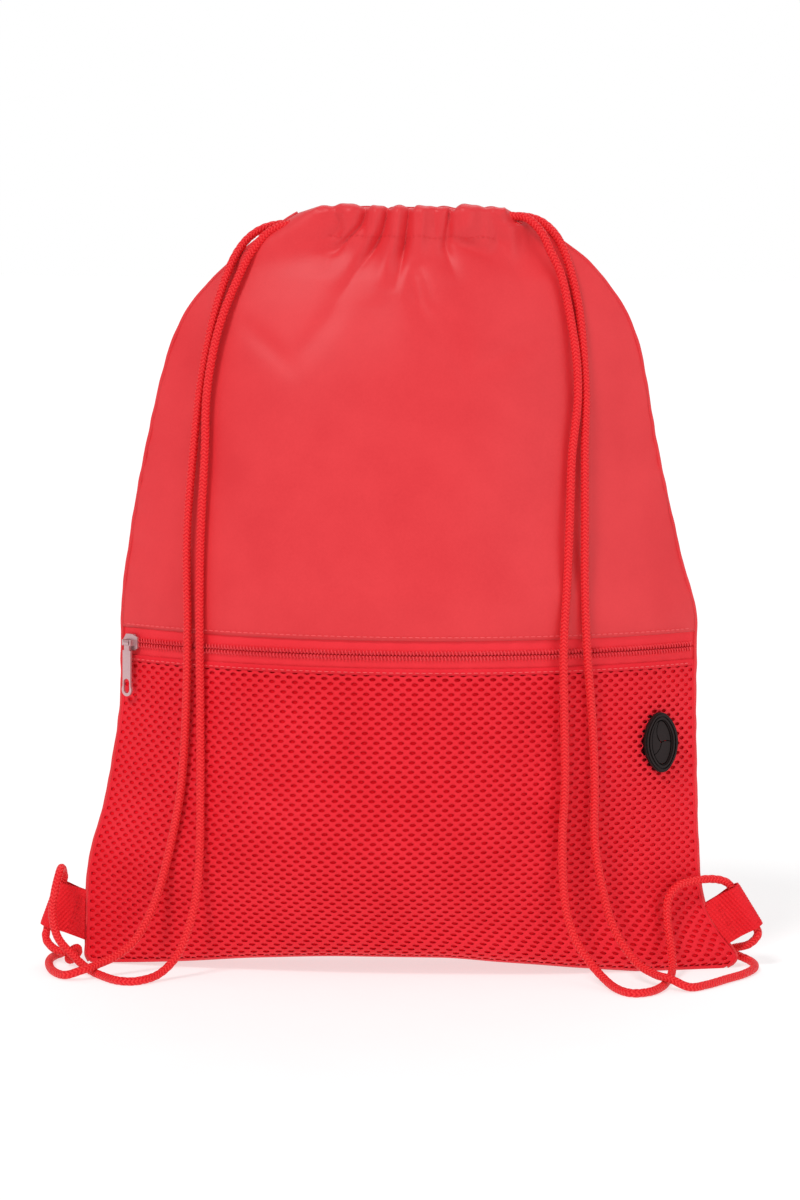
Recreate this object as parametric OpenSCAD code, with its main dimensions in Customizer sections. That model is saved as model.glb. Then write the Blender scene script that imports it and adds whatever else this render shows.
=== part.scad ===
// Drawstring backpack: stuffed two-panel bag with a gathered neck, a zipped mesh front pocket,
// a rubber cable port, webbing corner tabs and two long drawcords that double as straps.
// Millimetres, +Z up, front face towards -Y, origin at the middle of the base on the floor.

/* [Bag] */
// Half width of the bag at the zip
half_w = 148.5; // [144:0.5:152]
// How far each face bulges out at the zip
bulge = 55; // [50:0.5:58]
// Thickness of one layer of fabric
fabric_t = 1; // [0.8:0.1:1.4]
// Width of the seam allowance inside each side seam
seam_w = 8; // [5:1:10]
// Height of the panels' upper edges, where the casings begin
panel_top = 379; // [376:0.5:380]

/* [Neck] */
// Half width of the gathered casings
neck_half_w = 46; // [44:0.5:48]
// Overall height of the bag
bag_h = 397; // [394:0.5:400]
// Thickness of a gathered casing, front to back
casing_t = 9; // [8.5:0.1:10]
// Half of the gap between the casings' centre lines at their ends
casing_end_y = 9.8; // [9.6:0.1:11]
// Half of the gap between the casings' centre lines in the middle
casing_mid_y = 16.5; // [15:0.5:18]

/* [Zip] */
// Height of the chain's centre line
zip_z = 170.5; // [168:0.5:172]
// Width of each tape
tape_w = 11; // [9:0.5:12]
// Angle of the slider from the middle of the chain when the zip is closed
slider_angle = 39; // [36:0.1:39]
// Length of the slider body
slider_len = 10; // [9:0.5:11]
// Width of the slider body
slider_w = 8.6; // [8:0.2:9]
// Length of the pull tab below its pivot
pull_len = 28; // [24:1:32]
// Width of the pull tab
pull_w = 6.8; // [6:0.2:7.6]

/* [Cable port] */
// Width of the rubber flange
port_w = 21.5; // [21:0.5:24]
// Height of the rubber flange
port_h = 31.5; // [31:0.5:34]
// Width of the port's inner opening, mm
opening_w = 13; // [12:0.5:13]
// Height of the port's inner opening, mm
opening_h = 23.5; // [22:0.5:23.5]
// Width of the three slits between the flaps
slit_w = 0.5; // [0.4:0.1:0.8]

/* [Webbing tabs] */
// Width of the webbing
web_w = 25; // [20:1:25]
// Thickness of the webbing
web_t = 1.3; // [1:0.1:1.5]
// Inner radius of the loop that the cord runs through
loop_r = 3.2; // [3.1:0.1:4]

/* [Cords] */
// Diameter of the braided cord
cord_d = 4.2; // [3.8:0.1:4.2]
// Radius of the overhand knots
knot_r = 6.4; // [6:0.1:7]

/* [Hidden] */
$fn = 48;
gap = 0.3;                       // clearance between neighbouring pieces
seam_y = 1.4;                    // each face starts this far from the middle plane
seam_t = 0.7;                    // thickness of the side seams' allowance
base_t = 1.2;                    // thickness of the flat base
zip_band = [148, 184];           // heights between which the bag keeps one section

// Outlines: [height, half width] down each side, and [height, bulge] of the faces
left_side = [[0, 166], [5, 168], [45, 167], [94, 156], [zip_band[0], half_w], [zip_band[1], half_w],
  [227, 144], [289, 132.5], [321, 124.5], [340, 116.5], [355, 105], [370, 88], [380, 75]];
right_side = [[0, 167], [6, 173], [18, 165], [34, 156], [50, 153], [94, 150.5], [zip_band[0], half_w],
  [zip_band[1], half_w], [214, 141], [276, 126.5], [323, 117.5], [340, 111.5], [355, 102], [370, 88],
  [380, 75]];
face_bulge = [[0, bulge / 2], [20, 36], [60, 48], [100, 53.5], [zip_band[0], bulge], [zip_band[1], bulge],
  [230, 51], [305, 40], [345, 30], [375, 20.5], [380, 19]];

// The arc that the zip follows
zip_r = (half_w * half_w + bulge * bulge) / (2 * bulge);
zip_cy = zip_r - bulge - seam_y;
zip_half_angle = asin(half_w / zip_r) - 0.8;
tape_out = -fabric_t - 0.3;      // radial place of the tapes' outer face
tape_t = 0.6;
coil_gap = 0.8;                  // half of the gap that the slider's neck runs in
coil_w = 1.8;
coil_t = 1.6;
plate_t = 1;
pivot_out = 3.9;                 // how far the pull's pivot stands out from the fabric
pivot_r = 0.6;
stitch_r = 0.25;

// The cable port's place on the mesh panel
port_x = 130;
port_z = 122;
port_tilt = 6;
flap_t = 1.2;

// Casings: arcs through the neck's corners
casing_r = (neck_half_w * neck_half_w + pow(casing_mid_y - casing_end_y, 2))
  / (2 * (casing_mid_y - casing_end_y));
casing_cy = casing_r - casing_mid_y;
casing_angle = asin(neck_half_w / casing_r);
slot_w = 5.4;
slot_z = [384, 395];

// Cord routes, chosen by hand: [x, y, z] of the centre line from knot to knot, in three runs each:
// over the floor and up to the neck, around in the casings, and back down through the corner loop
left_up = [
  [-173, -4, 6.6], [-173.5, 6.5, 5], [-180, 10, 3.2], [-186, 3, 2.2], [-186.5, -12, 2.2],
  [-182.5, -31, 2.2], [-175, -43, 2.6], [-166.5, -43.5, 5.2], [-159, -38, 7], [-148, -32, 11.5],
  [-138.5, -28, 20.5], [-129, -27.5, 41], [-121.5, -29, 70], [-116.3, -30, 100], [-114, -30, 138],
  [-113.3, -30, 180], [-114, -26.5, 226], [-111.3, -22.5, 268], [-107.5, -18, 306],
  [-101.5, -14.5, 338], [-94.5, -7.5, 362], [-87, 0, 376.5], [-77, 4, 384.5]
];
left_neck = [
  [-64, 6.5, 387.2], [-50, 9, 387], [-25, 14.6, 387], [0, 16.5, 387], [25, 14.6, 387],
  [46, 9.8, 387], [53.5, 7, 387], [56.5, 0, 387], [53.5, -7, 387], [46, -9.8, 387],
  [25, -14.6, 387], [0, -16.5, 387], [-25, -14.6, 387], [-50, -9, 387]
];
left_down = [
  [-62, -7.5, 386.8], [-73, -5.5, 383], [-82.5, -7.5, 372.5], [-89.5, -12, 358],
  [-96.5, -17, 340], [-101.5, -20, 320], [-104.5, -22.5, 297], [-105, -26, 270],
  [-106.8, -30, 226], [-107, -33.5, 182], [-106.5, -33.5, 140], [-106.2, -35.5, 92],
  [-106.8, -35.5, 58], [-109.5, -35.5, 36], [-116, -38, 15.5], [-125.5, -43, 4.4],
  [-136, -53, 2.2], [-146.5, -53.5, 2.2], [-156.5, -41.5, 2.2], [-164.5, -31.5, 3.6],
  [-173, -26, 9.6], [-181, -21.5, 18], [-184, -18.5, 30], [-182.8, -17.4, 41],
  [-181, -13.5, 49.5], [-180.3, -8.5, 51.8], [-180, -3, 49.5], [-180, 0, 43.5], [-184, 0, 31.1],
  [-188.3, 0, 19.3], [-189, -1.5, 12.5], [-184, -5.5, 8], [-177, -8.5, 6.8]
];
right_up = [
  [167, 11, 6.8], [173.5, 9.5, 8.8], [180.5, 3.5, 12], [184.6, 0, 17.5], [183.6, 0, 22],
  [177, 0, 32.6], [171, 0, 42.2], [167, -1, 46.2], [160, -3.5, 48], [151, -8, 48],
  [141.5, -12.5, 46], [136, -16, 39], [135.8, -18, 27], [137.8, -21.5, 13.5], [137.5, -29.5, 4.2],
  [134, -43, 2.2], [130, -57, 2.2], [123.5, -68, 2.2], [114.5, -72, 2.2], [107.5, -64, 2.3],
  [101.5, -53, 4.8], [93, -46.5, 13.5], [85.5, -43.5, 26], [80.8, -42.5, 44], [79.2, -43, 74],
  [80, -45.5, 104], [79.2, -46.5, 138], [78.4, -47, 174], [80, -42.5, 210], [81, -38, 240],
  [81.8, -33.5, 270], [84.6, -28.5, 298], [83.8, -25.5, 320], [80.6, -20.5, 341],
  [76.3, -16, 361], [70.5, -14, 374], [65.5, -11.5, 384]
];
right_neck = [
  [58.5, -10, 390.6], [50, -9, 392.2], [25, -14.6, 392.2], [0, -16.5, 392.2],
  [-25, -14.6, 392.2], [-46, -9.8, 392.2], [-53.5, -7, 392.2], [-56.5, 0, 392.2],
  [-53.5, 7, 392.2], [-46, 9.8, 392.2], [-25, 14.6, 392.2], [0, 16.5, 392.2], [25, 14.6, 392.2],
  [50, 9, 392.2]
];
right_down = [
  [60, 6, 391.4], [68, 1, 388], [75, -5, 380], [80.5, -10.5, 366], [85.2, -15.5, 346],
  [87.4, -20.5, 326], [89, -25, 301], [88.6, -29, 276], [88.8, -34.5, 240], [89, -39.5, 206],
  [90.5, -41.5, 172], [93.6, -40, 138], [95.5, -39, 104], [96, -37.5, 74], [100.2, -36.5, 50],
  [106.5, -36.5, 28.5], [117, -41, 12.5], [126.5, -49, 7.2], [134.5, -56.5, 6.2],
  [144, -58.5, 2.6], [154, -50.5, 2.2], [165, -37, 2.2], [175.5, -24, 2.2], [182.3, -9, 2.2],
  [182, 6, 2.4], [171.5, 14, 5.6]
];
route_left = concat(left_up, left_neck, left_down);
route_right = concat(right_up, right_neck, right_down);
cord_sides = 8;
knot_left_at = [-175, -8, knot_r + 0.1];
knot_right_at = [168, 12, knot_r + 0.1];

// ---------- curves ----------

// Slope of table t at its point i, so that the curve never overshoots
function rate(t, i) = (t[i + 1][1] - t[i][1]) / (t[i + 1][0] - t[i][0]);
function slope(t, i) =
  i == 0 ? rate(t, 0) :
  i == len(t) - 1 ? rate(t, i - 1) :
  rate(t, i - 1) * rate(t, i) <= 0 ? 0 :
  2 * rate(t, i - 1) * rate(t, i) / (rate(t, i - 1) + rate(t, i));
function place(t, z) = max([for (k = [0:len(t) - 2]) if (t[k][0] <= z || k == 0) k]);
function hermite(t, i, u, h) =
  t[i][1] * (2 * pow(u, 3) - 3 * u * u + 1) + t[i + 1][1] * (3 * u * u - 2 * pow(u, 3))
  + h * slope(t, i) * (pow(u, 3) - 2 * u * u + u) + h * slope(t, i + 1) * (pow(u, 3) - u * u);
function smooth(t, z) = let (i = place(t, z), h = t[i + 1][0] - t[i][0])
  hermite(t, i, (z - t[i][0]) / h, h);

// Point of a face at height z: s runs from -1 (left seam) to 1 (right seam), dir is -1 for the front
// and 1 for the back, and out is the distance outwards from the fabric's outer surface
function face_point(z, s, dir, out) =
  let (l = smooth(left_side, z), r = smooth(right_side, z), c = (l + r) / 2, b = smooth(face_bulge, z),
    rad = (c * c + b * b) / (2 * b), a = asin(c / rad) * s)
  [(r - l) / 2 + (rad + out) * sin(a), dir * (seam_y + (rad + out) * cos(a) - rad + b), z];

// A closed shell between two grids of points, each a list of rows
module shell(outer, inner) {
  rows = len(outer);
  cols = len(outer[0]);
  n = rows * cols;
  points = concat([for (row = outer) for (p = row) p], [for (row = inner) for (p = row) p]);
  skins = [for (j = [0:rows - 2]) for (i = [0:cols - 2]) let (a = j * cols + i)
    each [[a, a + 1, a + cols + 1], [a, a + cols + 1, a + cols],
      [n + a, n + a + cols + 1, n + a + 1], [n + a, n + a + cols, n + a + cols + 1]]];
  ends = [for (i = [0:cols - 2]) let (b = (rows - 1) * cols + i)
    each [[i, n + i + 1, i + 1], [i, n + i, n + i + 1],
      [b, b + 1, n + b + 1], [b, n + b + 1, n + b]]];
  sides = [for (j = [0:rows - 2]) let (a = j * cols, b = a + cols - 1)
    each [[a, a + cols, n + a + cols], [a, n + a + cols, n + a],
      [b, n + b + cols, b + cols], [b, n + b, n + b + cols]]];
  polyhedron(points, concat(skins, ends, sides));
}

// One panel of the bag between the given heights; outs gives [height, offset] of its outer surface.
// With reach < 1 its edges stop short of the side seams and rise to meet the face
module panel(heights, dir, outs, cols = 20, reach = 1) {
  fade = function (s) reach < 1 ? 1 - pow(s, 8) : 1;
  edge = reach < 1 ? -3.6 : 0;
  grid = function (t) [for (z = heights) [for (i = [0:cols]) let (s = 1 - 2 * i / cols)
    face_point(z, dir * s * reach, dir, edge + smooth(outs, z) * fade(s) - t)]];
  shell(grid(0), grid(fabric_t));
}

// Tube swept through the route's points
function unit(v) = v / norm(v);
function heading(p, i) = unit(p[min(i + 1, len(p) - 1)] - p[max(i - 1, 0)]);
// Carries the ring's first direction along the curve without twisting it
function frames(p, i, side) = i == len(p) ? [] :
  let (h = heading(p, i), s = unit(side - h * (side * h))) concat([s], frames(p, i + 1, s));
module tube(path, d, sides) {
  side = frames(path, 0, [0.3, 0.2, 1]);
  last = len(path) - 1;
  points = [for (i = [0:last]) let (h = heading(path, i), v = cross(h, side[i])) for (k = [0:sides - 1])
    path[i] + d / 2 * (side[i] * cos(360 * k / sides) + v * sin(360 * k / sides))];
  walls = [for (i = [0:last - 1]) for (k = [0:sides - 1])
    let (a = i * sides + k, b = i * sides + (k + 1) % sides)
    each [[a, a + sides, b + sides], [a, b + sides, b]]];
  caps = [[for (k = [0:sides - 1]) k], [for (k = [0:sides - 1]) (last + 1) * sides - 1 - k]];
  polyhedron(points, concat(walls, caps));
}

// ---------- fabric ----------

module front_upper_panel() {
  color("#e64348")
    panel([zip_z + 7.5, 184, 205, 230, 255, 280, 305, 323, 340, 355, 370, panel_top], -1,
      [[0, 0], [400, 0]]);
}

// Lies behind the pocket and shares the zip's upper seam with the upper panel
module pocket_lining_panel() {
  color("#d9343c")
    panel([base_t + gap, 8, 20, 40, 60, 80, 100, 124, 148, 164, zip_z + 9.5], -1,
      [[0, -1], [20, -5.4], [164, -5.4], [180, 1.2], [184, 1.2]], reach = 0.9);
}

module mesh_pocket_panel() {
  color("#e0222e")
    difference() {
      panel([base_t + gap, 4, 8, 12, 16, 20, 28, 36, 44, 52, 76, 100, 124, 148, zip_z - 7.5],
        -1, [[0, 0], [400, 0]], 24);
      on_port() linear_extrude(height = 30, center = true)
        polygon([for (a = [0:15:345]) [(opening_w / 2 + 0.7) * cos(a), (opening_h / 2 + 0.7) * sin(a)]]);
    }
}

module back_panel() {
  color("#e64348")
    panel([base_t + gap, 4, 8, 12, 16, 20, 28, 36, 44, 52, 76, 100, 148, 184, 230, 270, 305, 340, 355, 370,
      panel_top], 1,
      [[0, 0], [400, 0]]);
}

// One gathered casing tube with the slot that both cords run in
module casing(dir) {
  color("#e6464b")
    scale([1, -dir, 1]) translate([0, casing_cy, 0]) rotate([0, 0, -90 - casing_angle])
      rotate_extrude(angle = 2 * casing_angle, $fn = 96)
        difference() {
          translate([casing_r - casing_t / 2, panel_top + gap])
            square([casing_t, bag_h - panel_top - gap]);
          translate([casing_r - slot_w / 2, slot_z[0]])
            square([slot_w, slot_z[1] - slot_z[0]]);
        }
}

module casing_front() { casing(-1); }

module casing_back() { casing(1); }

// Seam allowance between the two faces, standing in the middle plane
module side_seam(table, dir) {
  heights = [for (z = [base_t + gap:12:panel_top - 1]) z];
  color("#c92a32")
    rotate([90, 0, 0]) linear_extrude(height = seam_t, center = true) difference() {
      polygon(concat([for (z = heights) [dir * (smooth(table, z) - 0.2), z]],
        [for (k = [len(heights) - 1:-1:0]) [dir * (smooth(table, heights[k]) - seam_w), heights[k]]]));
      // Trimmed back where the zip's ends lie
      translate([dir * (half_w - 6.2), zip_z - 1]) square([10, 22], center = true);
    }
}

module side_seam_left() { side_seam(left_side, -1); }

module side_seam_right() { side_seam(right_side, 1); }

// The flat of the base, where both faces fold under to the bottom seam
module bottom_seam() {
  l = left_side[0][1];
  r = right_side[0][1];
  c = (l + r) / 2;
  b = face_bulge[0][1] + seam_y;
  rad = (c * c + b * b) / (2 * b);
  color("#c92a32") {
    intersection_for (dir = [-1, 1])
      translate([(r - l) / 2, -dir * (rad - b), 0]) cylinder(r = rad, h = base_t, $fn = 240);
    translate([-140, -seam_t / 2, base_t - 0.1]) cube([280, seam_t, seam_w]);
  }
}

// ---------- zip ----------

// Puts a piece drawn at the origin on the zip's arc: x along the chain, -y outwards
module on_zip(angle) {
  translate([0, zip_cy, 0]) rotate([0, 0, angle]) translate([0, -zip_r, 0]) children();
}

// Band that follows the zip's arc between two radial offsets and two heights
module zip_band_part(out_low, out_high, z_low, z_high) {
  translate([0, zip_cy, 0]) rotate([0, 0, -90 - zip_half_angle])
    rotate_extrude(angle = 2 * zip_half_angle, $fn = 180)
      translate([zip_r + out_low, z_low]) square([out_high - out_low, z_high - z_low]);
}

module zip_tape_upper() {
  color("#d8242e")
    zip_band_part(tape_out - tape_t, tape_out, zip_z + coil_gap, zip_z + coil_gap + tape_w - 2);
}

module zip_tape_lower() {
  color("#d8242e")
    zip_band_part(tape_out - tape_t, tape_out, zip_z - coil_gap - tape_w, zip_z - coil_gap);
}

module zip_coil_upper() {
  color("#c81e28")
    zip_band_part(tape_out + 0.05, tape_out + coil_t, zip_z + coil_gap, zip_z + coil_gap + coil_w);
}

module zip_coil_lower() {
  color("#c81e28")
    zip_band_part(tape_out + 0.05, tape_out + coil_t, zip_z - coil_gap - coil_w, zip_z - coil_gap);
}

// Outline of a slider plate: wide where the tapes part, narrower at the tail
module slider_outline() {
  h = slider_len / 2;
  w = slider_w / 2;
  polygon([[-h, -1.2], [-h + 2, -w], [h - 3.5, -w], [h, -w + 1.4], [h, w - 1.4], [h - 3.5, w],
    [-h + 2, w], [-h, 1.2]]);
}

// A plate of the slider between two distances outwards from the fabric
module slider_plate(out_low, out_high) {
  translate([0, -out_low, zip_z]) rotate([90, 0, 0]) linear_extrude(height = out_high - out_low)
    children();
}

module zip_slider_body() {
  top = tape_out + coil_t + 0.4;
  bottom = tape_out - tape_t - 0.4;
  color("#d4b4b8")
    on_zip(-slider_angle) {
      slider_plate(top, top + plate_t) slider_outline();
      slider_plate(bottom - plate_t, bottom) slider_outline();
      slider_plate(bottom - 0.1, top + 0.1) translate([-slider_len / 2 + 2.4, 0])
        square([2.4, 1.1], center = true);
      for (side = [-1, 1])
        slider_plate(top - 0.9, top + 0.1) translate([0, side * (slider_w / 2 - 0.5)])
          square([slider_len - 5, 0.8], center = true);
    }
}

// Bridge on the slider's top plate; its round bar is the pull tab's pivot
module zip_slider_crown() {
  top = tape_out + coil_t + 0.4 + plate_t;
  color("#dcc2c5")
    on_zip(-slider_angle) {
      for (side = [-1, 1])
        slider_plate(top, pivot_out + pivot_r + 0.2) translate([side * 2.6, 0])
          square([1, 3], center = true);
      translate([0, -pivot_out, zip_z]) rotate([0, 90, 0]) cylinder(r = pivot_r, h = 4.4, center = true);
    }
}

module zip_pull_tab() {
  eye_r = pivot_r + 0.15;
  color("#d4b4b8")
    on_zip(-slider_angle) translate([0, -pivot_out, zip_z])
      difference() {
        union() {
          rotate([0, 90, 0]) cylinder(r = eye_r + 0.7, h = 3.6, center = true);
          translate([-1.8, -0.6, -4]) cube([3.6, 1.2, 4]);
          translate([0, 0.6, 0]) rotate([90, 0, 0]) linear_extrude(height = 1.2) {
            translate([-pull_w / 2 + 0.6, -pull_len + pull_w / 2]) square([pull_w - 1.2, pull_len - 7.5]);
            translate([0, -pull_len + pull_w / 2]) circle(d = pull_w);
            translate([0, -6.2]) circle(d = pull_w - 1.2);
          }
        }
        rotate([0, 90, 0]) cylinder(r = eye_r, h = 8, center = true);
        translate([0, 2, 0]) rotate([90, 0, 0]) linear_extrude(height = 4) {
          translate([0, -pull_len + 3.6]) circle(d = 4);
          translate([-2, -pull_len + 3.6]) square([4, 3.6]);
          translate([0, -pull_len + 7.2]) circle(d = 4);
        }
      }
}

// Row of thread on the fabric along the zip
module topstitch(z) {
  color("#f06068")
    translate([0, zip_cy, 0]) rotate([0, 0, -90 - zip_half_angle + 0.3])
      rotate_extrude(angle = 2 * zip_half_angle - 0.6, $fn = 180)
        translate([zip_r + stitch_r + 0.05, z]) circle(r = stitch_r, $fn = 8);
}

module topstitch_upper() { topstitch(zip_z + 9.5); }

module topstitch_lower() { topstitch(zip_z - 9); }

// ---------- cable port ----------

// Puts a piece drawn flat at the origin on the mesh panel: x across, y up, z outwards
module on_port() {
  l = smooth(left_side, port_z);
  r = smooth(right_side, port_z);
  c = (l + r) / 2;
  b = smooth(face_bulge, port_z);
  rad = (c * c + b * b) / (2 * b);
  a = asin((port_x - (r - l) / 2) / rad);
  translate([port_x, -(seam_y + rad * cos(a) - rad + b), port_z])
    rotate([0, 0, a]) rotate([90, 0, 0]) rotate([0, 0, port_tilt]) children();
}

module oval(w, h) {
  r = w * 0.3;                                       // end arcs
  e = h / 2 - r;
  side = (e * e + w * w / 4 - r * r) / (w - 2 * r);  // side arcs, tangent to the end arcs
  c = side - w / 2;
  for (m = [-1, 1]) translate([0, m * e]) circle(r = r);
  intersection() {
    translate([-c, 0]) circle(r = side);
    translate([c, 0]) circle(r = side);
    square([w + 1, 2 * (e + r * e / (side - r))], center = true);
  }
}

module port_flange() {
  color("#2a2022")
    on_port() difference() {
      union() {
        translate([0, 0, 0.5]) linear_extrude(height = 1.6) oval(port_w, port_h);
        for (inset = [1.6, 5.2])
          translate([0, 0, 2]) linear_extrude(height = 0.8) difference() {
            oval(port_w - inset, port_h - inset);
            oval(port_w - inset - 1.8, port_h - inset - 1.8);
          }
      }
      linear_extrude(height = 20, center = true) oval(opening_w, opening_h);
    }
}

// Ring behind the mesh that the flange is fixed to
module port_back_ring() {
  color("#2a2022")
    on_port() translate([0, 0, -fabric_t - 1.9]) linear_extrude(height = 1.3) difference() {
      oval(opening_w + 6.8, opening_h + 6.8);
      oval(opening_w + 0.4, opening_h + 0.4);
    }
}

// One of three swirled rubber flaps that close the port round a cable
module port_flap(turn) {
  r = opening_h / 2;
  slit = [for (k = [0:8]) let (d = r * k / 8 + 0.6) [d, 52 * (1 - d / r)]];
  edge = function (start, dir) [for (p = slit) let (a = start + p[1]) [p[0] * cos(a), p[0] * sin(a)]
    + dir * slit_w / 2 * [-sin(a), cos(a)]];
  low = edge(-60, 1);
  high = edge(60, -1);
  color("#1d1618")
    on_port() rotate([0, 0, turn]) translate([0, 0, 0.6]) linear_extrude(height = flap_t)
      intersection() {
        polygon(concat(low, [for (a = [-40:20:40]) 2 * r * [cos(a), sin(a)]],
          [for (k = [len(high) - 1:-1:0]) high[k]]));
        rotate(-turn) oval(opening_w - 1.2, opening_h - 1.2);
      }
}

module port_flap_1() { port_flap(30); }

module port_flap_2() { port_flap(150); }

module port_flap_3() { port_flap(270); }

// ---------- webbing tabs ----------

// Folded webbing, drawn with the loop's channel along z and the fold towards +x: two layers lie
// flat together towards -x and open in a loop that the cord runs through
module webbing_tab() {
  outer_r = loop_r + web_t;
  reach = 26;
  mid = -9;                      // where the two layers part
  color("#d21f2a")
    difference() {
      union() {
        cylinder(h = web_w, r = outer_r, center = true);
        linear_extrude(height = web_w, center = true)
          polygon([[-reach, -web_t], [-reach, web_t], [mid - 2, web_t], [-outer_r * 0.4, outer_r * 0.86],
            [0, 0], [-outer_r * 0.4, -outer_r * 0.86], [mid - 2, -web_t]]);
      }
      cylinder(h = web_w + 2, r = loop_r, center = true);
      linear_extrude(height = web_w + 2, center = true)
        polygon([[mid, 0], [-loop_r * 0.43, loop_r * 0.9], [0, 0], [-loop_r * 0.43, -loop_r * 0.9]]);
    }
}

// Takes away what would lie inside the bag's outline, so that the tab's end follows the seam
module seam_cut(table, dir) {
  rotate([90, 0, 0]) linear_extrude(height = 20, center = true)
    polygon(concat([for (z = [-4:2:64]) [dir * (smooth(table, max(z, 0)) + tab_gap), z]],
      [[dir * 60, 64], [dir * 60, -4]]));
}

// Places of the loops' centres, and how far the tabs lean up from level
left_loop = [-184, 0, 31.1];
right_loop = [177, 0, 32.6];
left_lean = 20;
right_lean = 32;
tab_gap = 1.2;

module webbing_tab_left() {
  difference() {
    translate(left_loop) rotate([0, 0, 180]) rotate([0, -left_lean, 0]) webbing_tab();
    seam_cut(left_side, -1);
  }
}

module webbing_tab_right() {
  difference() {
    translate(right_loop) rotate([0, -right_lean, 0]) webbing_tab();
    seam_cut(right_side, 1);
  }
}

// ---------- cords ----------

module drawcord_left() { color("#e31c21") tube(route_left, cord_d, cord_sides); }

module drawcord_right() { color("#e31c21") tube(route_right, cord_d, cord_sides); }

// Overhand knot that joins the two ends of a cord: a turn of cord around a round core
module cord_knot(at, lean) {
  color("#d91a20")
    translate(at) rotate(lean) {
      sphere(r = knot_r - 1.2, $fn = 32);
      rotate_extrude($fn = 32) translate([knot_r - cord_d / 2, 0]) circle(d = cord_d, $fn = 16);
    }
}

module cord_knot_left() { cord_knot(knot_left_at, [50, 20, 0]); }

module cord_knot_right() { cord_knot(knot_right_at, [-40, 30, 0]); }

front_upper_panel();
pocket_lining_panel();
mesh_pocket_panel();
back_panel();
casing_front();
casing_back();
side_seam_left();
side_seam_right();
bottom_seam();
zip_tape_upper();
zip_tape_lower();
zip_coil_upper();
zip_coil_lower();
zip_slider_body();
zip_slider_crown();
zip_pull_tab();
topstitch_upper();
topstitch_lower();
port_flange();
port_back_ring();
port_flap_1();
port_flap_2();
port_flap_3();
webbing_tab_left();
webbing_tab_right();
drawcord_left();
drawcord_right();
cord_knot_left();
cord_knot_right();
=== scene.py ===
import bpy, math
import numpy as np
from mathutils import Matrix, Vector


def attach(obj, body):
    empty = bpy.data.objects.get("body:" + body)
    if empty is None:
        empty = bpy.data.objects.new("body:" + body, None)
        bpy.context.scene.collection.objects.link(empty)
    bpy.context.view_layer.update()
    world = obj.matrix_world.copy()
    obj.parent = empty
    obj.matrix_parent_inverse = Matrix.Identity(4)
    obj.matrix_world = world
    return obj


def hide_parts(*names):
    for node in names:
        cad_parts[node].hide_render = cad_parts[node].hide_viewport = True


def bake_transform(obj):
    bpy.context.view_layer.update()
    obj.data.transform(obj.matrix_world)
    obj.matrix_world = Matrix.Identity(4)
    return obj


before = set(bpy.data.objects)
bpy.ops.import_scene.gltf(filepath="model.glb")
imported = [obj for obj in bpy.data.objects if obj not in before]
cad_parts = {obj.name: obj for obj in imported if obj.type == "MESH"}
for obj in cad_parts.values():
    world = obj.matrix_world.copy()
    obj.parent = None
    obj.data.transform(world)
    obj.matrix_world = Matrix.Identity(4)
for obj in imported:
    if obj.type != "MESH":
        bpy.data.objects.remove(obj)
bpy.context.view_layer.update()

MM = 0.001

# ---------- camera: metres and degrees ----------
LENS_MM = 98.6
CAMERA_AT = (-0.0048, -1.7, 0.369)
CAMERA_DOWN = 5.91
CAMERA_TURN = 0.5
cam_data = bpy.data.cameras.new("camera")
cam_data.lens = LENS_MM
cam_data.sensor_width = 36
cam_data.clip_start = 0.05
camera = bpy.data.objects.new("camera", cam_data)
bpy.context.collection.objects.link(camera)
camera.location = CAMERA_AT
camera.rotation_euler = (Matrix.Rotation(math.radians(90 - CAMERA_DOWN), 3, "X")
                         @ Matrix.Rotation(math.radians(CAMERA_TURN), 3, "Z")).to_euler()
bpy.context.scene.camera = camera
bpy.context.scene.view_settings.view_transform = "Standard"

# ---------- helpers ----------
def link(name, verts, faces, mat):
    """A smooth-shaded object from points in millimetres."""
    me = bpy.data.meshes.new(name)
    points = [tuple(v) for v in np.asarray(verts, float) * MM]
    polygons = [tuple(int(i) for i in f) for f in faces]
    me.from_pydata(points, [], polygons)
    me.update()
    me.polygons.foreach_set("use_smooth", [True] * len(me.polygons))
    o = bpy.data.objects.new(name, me)
    bpy.context.collection.objects.link(o)
    me.materials.append(mat)
    return o

def thicken(o, thick, offset=-1):
    """Cloth thickness in millimetres; the default offset grows it inward."""
    m = o.modifiers.new("thickness", "SOLIDIFY")
    m.thickness = thick * MM
    m.offset = offset

def join(parts):
    """[(verts, faces)] as one (verts, faces)."""
    vs, fs, n = [], [], 0
    for v, f in parts:
        vs.append(np.asarray(v, float))
        fs += [tuple(i + n for i in q) for q in f]
        n += len(v)
    return np.vstack(vs), fs

def grid_faces(rows, cols, flip=False, wrap=False):
    """Quads of a rows x cols grid of points; wrap closes the columns."""
    fs = []
    for j in range(rows - 1):
        for i in range(cols if wrap else cols - 1):
            a, b = j * cols + i, j * cols + (i + 1) % cols
            q = (a, b, b + cols, a + cols)
            fs.append(q[::-1] if flip else q)
    return fs

def tab(t, z):
    """Smooth monotone table lookup, as in the CAD."""
    t = np.asarray(t, float)
    xs, ys = t[:, 0], t[:, 1]
    z = np.asarray(z, float)
    d = np.diff(ys) / np.diff(xs)
    m = np.empty(len(xs))
    m[0], m[-1] = d[0], d[-1]
    p = d[:-1] * d[1:]
    with np.errstate(divide="ignore", invalid="ignore"):
        m[1:-1] = np.where(p <= 0, 0, 2 * p / (d[:-1] + d[1:]))
    k = np.clip(np.searchsorted(xs, z, side="right") - 1, 0, len(xs) - 2)
    h = xs[k + 1] - xs[k]
    u = (z - xs[k]) / h
    return (ys[k] * (2*u**3 - 3*u*u + 1) + ys[k+1] * (3*u*u - 2*u**3)
            + h * m[k] * (u**3 - 2*u*u + u) + h * m[k+1] * (u**3 - u*u))

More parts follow.
